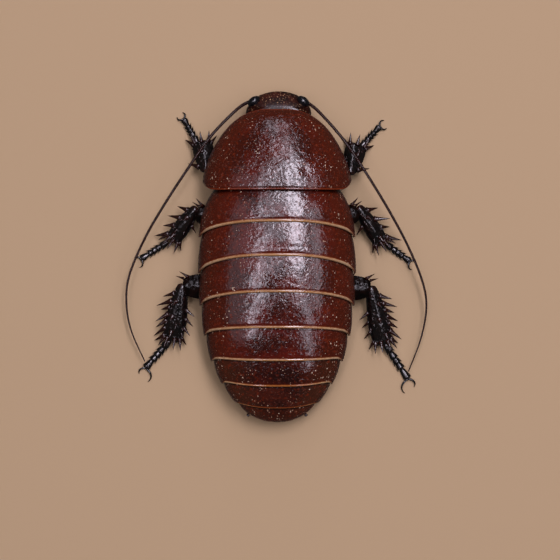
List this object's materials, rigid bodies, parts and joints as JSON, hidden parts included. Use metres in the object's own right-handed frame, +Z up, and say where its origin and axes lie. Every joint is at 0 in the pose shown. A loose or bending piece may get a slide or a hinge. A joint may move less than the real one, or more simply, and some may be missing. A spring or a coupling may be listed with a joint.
{
  "type": "rhinoceros cockroach model",
  "caption": "Life-size still model of a giant burrowing cockroach, wingless and domed, with overlapping back plates, spiny digging legs and long swept-back antennae.",
  "frame": {"origin": "on the floor, under the middle of the bounding box", "axes": "+Y from the head towards the tail, +X to the animal's left, +Z up from the floor through the back"},
  "size_m": [0.0701, 0.0762, 0.0174],
  "materials": {
    "shield_shell": "deep mahogany glossy cuticle, finely pitted, with a pale rear edge",
    "back_shell": "dark red-brown glossy cuticle, finely wrinkled, with a cream to orange rear edge",
    "body_shell": "dark brown satin cuticle",
    "head_shell": "near-black red-brown glossy cuticle with pits",
    "eye": "black, glossy, finely faceted",
    "mouth_parts": "red-brown satin cuticle",
    "antenna": "dark red-brown, finely ringed",
    "leg_shell": "near-black glossy cuticle"
  },
  "bodies": {
    "root": {"pronotum": "shield_shell", "mesonotum": "shield_shell", "metanotum": "shield_shell", "tergite_1": "back_shell", "tergite_2": "back_shell", "tergite_3": "back_shell", "tergite_4": "back_shell", "tergite_5": "back_shell", "tergite_6": "back_shell", "thorax": "body_shell", "abdomen": "body_shell", "head": "head_shell", "eye_left": "eye", "eye_right": "eye", "labrum": "mouth_parts", "labium": "mouth_parts", "mandible_left": "mouth_parts", "mandible_right": "mouth_parts", "maxillary_palp_left": "mouth_parts", "maxillary_palp_right": "mouth_parts", "antenna_left_base": "antenna", "antenna_left_middle": "antenna", "antenna_left_outer": "antenna", "antenna_left_tip": "antenna", "cercus_left": "body_shell", "antenna_right_base": "antenna", "antenna_right_middle": "antenna", "antenna_right_outer": "antenna", "antenna_right_tip": "antenna", "cercus_right": "body_shell", "front_left_coxa": "leg_shell", "front_left_femur": "leg_shell", "front_left_tibia": "leg_shell", "front_left_tarsus": "leg_shell", "front_right_coxa": "leg_shell", "front_right_femur": "leg_shell", "front_right_tibia": "leg_shell", "front_right_tarsus": "leg_shell", "mid_left_coxa": "leg_shell", "mid_left_femur": "leg_shell", "mid_left_tibia": "leg_shell", "mid_left_tarsus": "leg_shell", "mid_right_coxa": "leg_shell", "mid_right_femur": "leg_shell", "mid_right_tibia": "leg_shell", "mid_right_tarsus": "leg_shell", "hind_left_coxa": "leg_shell", "hind_left_femur": "leg_shell", "hind_left_tibia": "leg_shell", "hind_left_tarsus": "leg_shell", "hind_right_coxa": "leg_shell", "hind_right_femur": "leg_shell", "hind_right_tibia": "leg_shell", "hind_right_tarsus": "leg_shell"}
  },
  "joints": []
}
